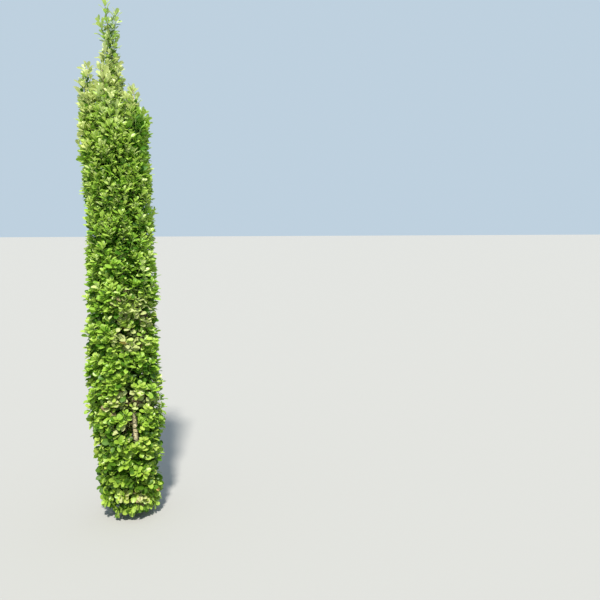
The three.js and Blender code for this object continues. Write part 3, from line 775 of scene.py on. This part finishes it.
def leaf_kind(spray, pair, spot, roll):
    vigour = spray * SPRAY_WEIGHT + roll * ROLL_WEIGHT + read(VIGOUR_HEIGHTS, spot.z) - PAIR_WEIGHT * pair
    # painted sunlight on the left flank, painted shade on the top of the right flank
    if spot.z > SIDES_FROM:
        x = seen_from(camera.location, spot)[0]
        shade_from = read(SHADY_SIDE, spot.z)
        vigour += PAINTED_SUN_VIGOUR if x < SUNNY_SIDE else PAINTED_SHADE_VIGOUR if x > shade_from else 0
    faded = bleached(spot)
    if not spray and roll < DRIED * faded:
        return "dry"
    if spray and roll < faded:
        if roll < faded * (PALE if pair > 0 else PALE_TIP):
            return "pale"
        return "bright" if roll < faded * PALE_BRIGHT else "tip"
    if roll > AMBER:
        return "amber"
    # Inner leaves are deep green, partly as old leaves are and partly as painted shade inside the crown.
    if not spray:
        return "deep" if roll < mix(*INNER_DEEP, clamp(spot.z - 1, 0, 1)) else "mid"
    if pair >= TUFT_PAIRS:
        vigour = min(vigour, OLD_VIGOUR) - OLD_ROLL * roll
    if vigour > FRESH and spot.z > FRESH_FROM:
        return "fresh"
    if vigour > TIP and pair < TIP_PAIRS:
        return "tip"
    if vigour > BRIGHT:
        return "bright"
    return "mid" if vigour > MID else "deep"


print("kinds:", *KINDS)

# %% [markdown]
# Leaves stand on a shoot in opposite pairs, each pair square to the last. They crowd towards the tip, where
# the youngest are small and still upright, so that it looks like a rosette. The photograph shows broad
# leaves low down and slim ones at the top, and fewer of them at the foot and in the open end of the crown.

# %% Sizes of the leaves
LEAF_LENGTHS = [(0, 0.052), (0.30, 0.048), (0.60, 0.042), (0.90, 0.041), (1.40, 0.044), (1.90, 0.042),
                (2.40, 0.048)]
LEAF_WIDTHS = (0.95, 0.64)  # share of the pattern's width, near the ground and at the top
CHANGES_FROM, CHANGES_TO = 1.10, 1.75  # heights between which the leaves change from broad to slim
TUFT_STEPS = (0.003, 0.005, 0.009, 0.012, 0.021, 0.018)  # from the tip down, the last one repeated
EVEN_STEPS = (0.005, 0.010, 0.013, 0.015, 0.016, 0.016)  # the same for spires, and more and more with height
NODE_SIZES = (0.46, 0.76, 0.96, 1.0, 1.0, 0.9)
NODE_SPREADS = (16, 30, 42, 52, 62, 68)
FLATTER = (1.18, 0.76)  # how much wider the leaves stand near the ground, and at the top
SPIRE_SPREAD = 0.76  # the spires' leaves stand closer to the shoot
SIZE_VARIES, SPREAD_VARIES, TURN_VARIES, STEP_VARIES = (0.80, 1.18), 24, 0.6, (0.85, 1.2)
OLD_LEAF_SIZE = 1.3  # of the leaves inside the crown, beside the outer ones
MOST_PAIRS = {AXIS: 34, TWIG: 9, FORK: 7, SIDE_SHOOT: 3, INNER: 7}
BARE_FOOT = 0.2  # share of a shoot that has lost its leaves
THINNED = 0.4  # share of the leaves that a bleached stretch has lost
THINNED_HEIGHTS = [(0, 0.30), (0.30, 0.24), (0.50, 0), (2.51, 0), (2.53, 0.24)]  # the same elsewhere
print("leaves up to", max(length for _, length in LEAF_LENGTHS) * SIZE_VARIES[1], "long")

# %% [markdown]
# No leaf may stand in the ground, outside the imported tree's box, or in the lines of sight from the camera
# and the sun to the bare strip, so each place is tested before it gets a leaf.

# %% Places without leaves
FLOOR_CLEARANCE = 0.013
OVERHANG = 0.006  # how far past the solids' box a leaf may reach
GAP_MARGIN, SUN_MARGIN, TWIG_MARGIN = 0.35, 0.2, 0.004  # the first two are shares of the leaf's length


def has_no_room(spot, direction, size):
    middle, sides = spot + direction * (size / 2), zip(cad_box[0], spot + direction * size, cad_box[1])
    outside = any(not low - OVERHANG < place < high + OVERHANG for low, place, high in sides)
    return (outside or min(spot.z, spot.z + direction.z * size) < FLOOR_CLEARANCE
            or in_gap(middle, GAP_MARGIN * size) or in_gap(middle, SUN_MARGIN * size, SUN_EYE, SUN_GAP))


def crosses_gap(curve):
    return any(in_gap(bend(*curve, t), TWIG_MARGIN) for t in (0.5, 0.75, 1))


shoots = [shoot for shoot in shoots if not crosses_gap(shoot["curve"])]
print(len(shoots), "shoots outside the gap")

# %% [markdown]
# Now each shoot is dressed from its tip down. A leaf turns its upper face outwards, upwards and to the sun,
# with some chance. All the leaves are kept as rows of numbers: foot, direction, face, length, width and one
# roll of chance. Arrays turn such rows into leaves in a moment, where thousands of objects take minutes.

# %% Dressing the shoots
LIGHT_PULL = (0.55, 0.15)  # at the ground and at the top
LOOKS_OUT, LOOKS_UP, LOOKS_TO_SUN = 0.80, 0.25, 0.30
FACE_VARIES = 0.42  # how much chance turns each leaf
NEARLY_UPRIGHT = 0.95
ROLL_SHOOT, ROLL_LEAF, ROLL_SIZE, ROLL_KIND, ROLL_STEP, ROLL_WOBBLE, ROLL_THIN = 30, 31, 32, 33, 34, 35, 38
leaves = {kind: [] for kind in KINDS}


def dress(curve, key, spray, out, order):
    length, slim = length_of(curve), order in (AXIS, SIDE_SHOOT)
    turn = 2 * math.pi * chance(*key, ROLL_SHOOT)
    wish = out * LOOKS_OUT + UP * LOOKS_UP + SUN_FROM * LOOKS_TO_SUN
    back = 0.0
    for pair in range(MOST_PAIRS[order]):
        row = min(pair, len(TUFT_STEPS) - 1)
        t = 1 - back / length
        if t < BARE_FOOT:
            break
        spot = bend(*curve, t)
        along = (bend(*curve, min(t + NEARBY, 1)) - bend(*curve, t - NEARBY)).normalized()
        side = (UP if abs(along.z) < NEARLY_UPRIGHT else RIGHT).cross(along).normalized()
        height = clamp((spot.z - CHANGES_FROM) / (CHANGES_TO - CHANGES_FROM), 0, 1)
        pull, wider = mix(*LIGHT_PULL, height), SPIRE_SPREAD if slim else mix(*FLATTER, height)
        thinned = max(THINNED * bleached(spot), read(THINNED_HEIGHTS, spot.z))
        for half in (0, 1):
            leaf = pair * 2 + half
            roll = chance(*key, ROLL_LEAF, leaf)
            spread = math.radians((NODE_SPREADS[row] + (roll - 0.5) * SPREAD_VARIES) * wider)
            around = turn + pair * math.pi / 2 + half * math.pi + (roll - 0.5) * TURN_VARIES
            radial = turned(side, along, around)
            direction = along * math.cos(spread) + radial * math.sin(spread)
            face = along * math.sin(spread) - radial * math.cos(spread)
            wobble = Vector([chance(*key, ROLL_WOBBLE + i, leaf) - 0.5 for i in range(3)]) * (2 * FACE_VARIES)
            face = (face + wish * pull + wobble).normalized()
            varies = mix(*SIZE_VARIES, chance(*key, ROLL_SIZE, leaf))
            size = read(LEAF_LENGTHS, spot.z) * NODE_SIZES[row] * varies
            if order == INNER:
                size *= OLD_LEAF_SIZE
            if has_no_room(spot, direction, size) or spray and chance(*key, ROLL_THIN, leaf) < thinned:
                continue
            kind = leaf_kind(spray, pair, spot, chance(*key, ROLL_KIND, leaf))
            leaves[kind].append((*spot, *direction, *face, size, mix(*LEAF_WIDTHS, height), roll))
        step = mix(TUFT_STEPS[row], EVEN_STEPS[row], 1 if slim else height)
        back += step * mix(*STEP_VARIES, chance(*key, ROLL_STEP, pair))


for shoot in shoots:
    dress(**shoot)
print("leaves:", {kind: len(rows) for kind, rows in leaves.items()})

# %% [markdown]
# The twigs show as fine green lines between the leaves. Four sides are enough for a twig of a few
# millimetres, and all of them are joined into one piece.

# %% The twigs' mesh
TWIG_SIDES, TWIG_STEPS = 4, 4
TWIG_RADII = {AXIS: (0.0030, 0.0012), TWIG: (0.0022, 0.0010), FORK: (0.0016, 0.0008),
              SIDE_SHOOT: (0.0014, 0.0008), INNER: (0.0018, 0.0009)}

twig_parts = []
for shoot in shoots:
    radii = [mix(*TWIG_RADII[shoot["order"]], t) for t in steps(TWIG_STEPS)]
    twig_parts.append(tube([bend(*shoot["curve"], t) for t in steps(TWIG_STEPS)], radii, TWIG_SIDES))
mesh_piece("twigs", twig_parts, green_wood, "young_bark", *mass_nodes)

# %% [markdown]
# A spindle leaf is leathery and egg-shaped, widest beyond its middle, with a round tip, a short stalk and
# a fold along the midrib, and it arches back a little. A flat card would look like paper, so each leaf has
# a row of cross-sections with a left edge, a midrib and a right edge.

# %% The leaf's pattern
STATIONS = ((0.12, 0.030), (0.28, 0.165), (0.50, 0.290), (0.74, 0.325), (0.93, 0.190))  # along, half width

points = [(0.0, 0.0)]
for along, half in STATIONS:
    points += [(-half, along), (0.0, along), (half, along)]
pattern = np.array(points + [(0.0, 1.0)])
last = len(pattern) - 4
pattern_faces = [(0, 2, 1), (0, 3, 2)]
for a in range(1, last, 3):
    pattern_faces += [(a, a + 1, a + 4, a + 3), (a + 1, a + 2, a + 5, a + 4)]
pattern_faces += [(last, last + 1, last + 3), (last + 1, last + 2, last + 3)]
print("one leaf has", len(pattern), "points and", len(pattern_faces), "faces")

# %% [markdown]
# One pattern serves all the leaves, turned and scaled by array arithmetic. Each leaf gets three directions:
# along it, sideways, and the way its face looks. The fold lifts its edges and the arch drops its tip. Each
# point's place on its own leaf is kept as a UV map, which the veins will read.

# %% Leaves from arrays
FOLD, ARCH = 0.30, (0.05, 0.30)  # the edge's rise for each step sideways, and the tip's bend backwards
LEAF_CHART = "leaf"


def leaf_points(rows):
    """The points of all the leaves, leaf by leaf."""
    data = np.array(rows)[:, None, :]
    base, along, face = data[..., 0:3], data[..., 3:6], data[..., 6:9]
    size, width, roll = data[..., 9:10], data[..., 10:11], data[..., 11:12]
    along = along / np.linalg.norm(along, axis=2, keepdims=True)
    side = np.cross(along, face)
    side /= np.linalg.norm(side, axis=2, keepdims=True)
    face = np.cross(side, along)
    u, v = pattern[:, :1] * width, pattern[:, 1:]
    lift = FOLD * np.abs(u) - mix(*ARCH, roll) * v ** 2
    return base + size * (u * side + v * along + lift * face)


def leaf_piece(name, rows, material):
    parts = [(points, pattern_faces) for points in leaf_points(rows)]
    mesh = mesh_piece(name, parts, material, "foliage", *mass_nodes)
    corners = [i for face in pattern_faces for i in face]
    chart = mesh.uv_layers.new(name=LEAF_CHART, do_init=False)
    chart.uv.foreach_set("vector", np.tile(pattern[corners].astype(np.float32), (len(rows), 1)).ravel())


print("a leaf's fold is", FOLD, "and its arch", *ARCH)

# %% [markdown]
# A leaf has a pale midrib, and side veins that leave it at a slant. An image could show them, but a few
# nodes draw them at any size. They read the leaf's own chart: the distance from the middle gives the
# midrib, and the same distance taken off the length gives slanting lines at even steps. One figure serves
# the colour and the relief.

# %% Veins
MIDRIB_WIDTH = 0.034  # half of it, and all the sizes here are shares of the leaf's length
VEIN_STEP, VEIN_SLANT, VEIN_WIDTH, VEIN_STRENGTH = 0.13, 0.85, 0.026, 0.4


def vein_figure(tree):
    """1 on the midrib, less on the side veins, 0 between them."""
    chart = add_node(tree, "UVMap", "UV")
    chart.node.uv_map = LEAF_CHART
    across = add_node(tree, "SeparateXYZ", "X", chart)
    aside = math_node(tree, "ABSOLUTE", across)
    slant = math_node(tree, "MULTIPLY_ADD", aside, -VEIN_SLANT, across.node.outputs["Y"])
    between = math_node(tree, "PINGPONG", slant, VEIN_STEP / 2)
    midrib = ranged(tree, aside, 0.0, MIDRIB_WIDTH, 1.0, 0.0)
    return math_node(tree, "MAXIMUM", midrib, ranged(tree, between, 0.0, VEIN_WIDTH, VEIN_STRENGTH, 0.0))


print("a vein every", VEIN_STEP, "of the leaf")

# %% [markdown]
# The leaves are glossy and a little translucent: sun from behind makes them glow yellow-green. A soft noise
# keeps two leaves of one kind from matching. The gloss is a coat over the colour, as wax is over a real
# leaf. The lowest leaves are yellower, and the highest paler as painted sky light, so the height shifts
# hue and saturation.

# %% The leaf's material
TRANSLUCENCE = 0.32
COLOUR_PLACES = (0.36, 0.64)
LEAF_ROUGHNESS, COAT_ROUGHNESS = (0.42, 0.58), 0.32
VEIN_PALENESS, VEIN_RELIEF = (0.95, 1.34), 0.0006  # paleness between the veins and on the midrib
YELLOWER, YELLOWER_HEIGHTS = (0.479, 0.500), (0.20, 1.40)  # the hue's shift, where 0.5 is none
# The highest leaves lose saturation as painted sky light.
PAINTED_SKY_PALENESS, PAINTED_SKY_HEIGHTS = (1.0, 0.74), (2.20, 2.70)  # share of the colour's strength


def leaf_material(name, colour, other, gloss, glow):
    material, tree, shader = new_material(name)
    place = add_node(tree, "TexCoord", "Object")
    height = add_node(tree, "SeparateXYZ", "Z", Vector=place)
    spots = add_node(tree, "TexNoise", "Fac", Vector=place, Scale=42.0, Detail=2.0)
    figure = vein_figure(tree)
    aged = add_node(tree, "HueSaturation", "Color", Hue=ranged(tree, height, *YELLOWER_HEIGHTS, *YELLOWER),
                    Saturation=ranged(tree, height, *PAINTED_SKY_HEIGHTS, *PAINTED_SKY_PALENESS),
                    Value=ranged(tree, figure, 0.0, 1.0, *VEIN_PALENESS),
                    Color=ramp_node(tree, spots, COLOUR_PLACES, (colour, other)))
    relief = add_node(tree, "Bump", "Normal", Height=figure, Strength=0.5, Distance=VEIN_RELIEF)
    rough = ranged(tree, spots, 0.3, 0.7, *LEAF_ROUGHNESS)
    feed(tree, shader, Base_Color=aged, Normal=relief, Roughness=rough, Specular_IOR_Level=0.3,
         Coat_Weight=gloss, Coat_Roughness=COAT_ROUGHNESS)
    through = add_node(tree, "BsdfTranslucent", "BSDF", Color=(*glow, 1))
    blend = add_node(tree, "MixShader", "Shader", TRANSLUCENCE, shader.outputs["BSDF"], through)
    feed(tree, tree.nodes["Material Output"], Surface=blend)
    return material


print("leaves let", TRANSLUCENCE, "of the light through")

# %% [markdown]
# Each kind has two base colours, its gloss and the colour of the light that it lets through. The old leaves
# inside are deep green and dull, partly as old leaves are and partly as painted shade, the newest nearly
# yellow, and the bleached ones pale.

# %% Colours of the kinds
LEAF_COLOURS = {
    "deep": ((0.040, 0.125, 0.007), (0.070, 0.190, 0.012), 0.12, (0.10, 0.27, 0.015)),
    "mid": ((0.218, 0.405, 0.040), (0.288, 0.480, 0.058), 0.45, (0.41, 0.66, 0.06)),
    "bright": ((0.325, 0.495, 0.070), (0.410, 0.565, 0.105), 0.50, (0.54, 0.72, 0.12)),
    "tip": ((0.470, 0.595, 0.180), (0.570, 0.670, 0.260), 0.50, (0.68, 0.80, 0.28)),
    "fresh": ((0.520, 0.610, 0.170), (0.610, 0.680, 0.260), 0.40, (0.74, 0.82, 0.30)),
    "pale": ((0.390, 0.450, 0.155), (0.530, 0.585, 0.265), 0.25, (0.52, 0.58, 0.22)),
    "amber": ((0.600, 0.420, 0.110), (0.640, 0.480, 0.140), 0.40, (0.60, 0.42, 0.10)),
    "dry": ((0.190, 0.150, 0.064), (0.380, 0.320, 0.175), 0.10, (0.29, 0.23, 0.10)),
}
MOST_LEAVES = 9900  # in one piece, which keeps it under 200,000 triangles

for kind, rows in leaves.items():
    material = leaf_material(f"{kind}_leaf", *LEAF_COLOURS[kind])
    parts = math.ceil(len(rows) / MOST_LEAVES)
    for number in range(parts):
        leaf_piece(f"{kind}_leaves_{number + 1}", rows[number::parts], material)

# %% [markdown]
# The tree stands on a plain pale floor, which catches its shadow. The floor is so large that its edge is
# the horizon, and it lies half a millimetre low, so that the trunk's flat foot doesn't flicker in it.

# %% Floor
FLOOR_SIZE, FLOOR_DROP = 200.0, 0.0005
FLOOR_COLOUR = (0.34, 0.335, 0.325, 1)

material, tree, shader = new_material("pale_floor")
feed(tree, shader, Base_Color=FLOOR_COLOUR, Roughness=0.95)
mesh = bpy.data.meshes.new("floor")
half = FLOOR_SIZE / 2
mesh.from_pydata([(-half, -half, 0), (half, -half, 0), (half, half, 0), (-half, half, 0)], [], [(0, 1, 2, 3)])
mesh.materials.append(material)
floor = add_object("floor", mesh)
floor.location.z = -FLOOR_DROP
print("the floor is", FLOOR_SIZE, "across")

# %% [markdown]
# The photograph's light comes from high up in front and a little from the left. An area lamp would light
# the floor near the tree and leave the rest dark, so this is a sun lamp, made as wide as a soft studio
# lamp. Pale blue surroundings fill the shadows.

# %% Light
SUN_STRENGTH, SUN_WIDTH, SUN_COLOUR = 6.5, 5.0, (1.0, 0.96, 0.88)  # the width in degrees
FILL_STRENGTH, FILL_COLOUR = 0.74, (0.70, 0.86, 1.0, 1)

sun = add_object("sun", bpy.data.lights.new("sun", "SUN"))
sun.data.energy, sun.data.angle, sun.data.color = SUN_STRENGTH, math.radians(SUN_WIDTH), SUN_COLOUR
sun.rotation_euler = (-SUN_FROM).to_track_quat("-Z", "Y").to_euler()
world = bpy.data.worlds.new("studio")
world.use_nodes = True
tree = world.node_tree
feed(tree, tree.nodes["Background"], Color=FILL_COLOUR, Strength=FILL_STRENGTH)
scene.world = world
scene.view_settings.view_transform = "Standard"
print("sun", SUN_STRENGTH, "fill", FILL_STRENGTH)
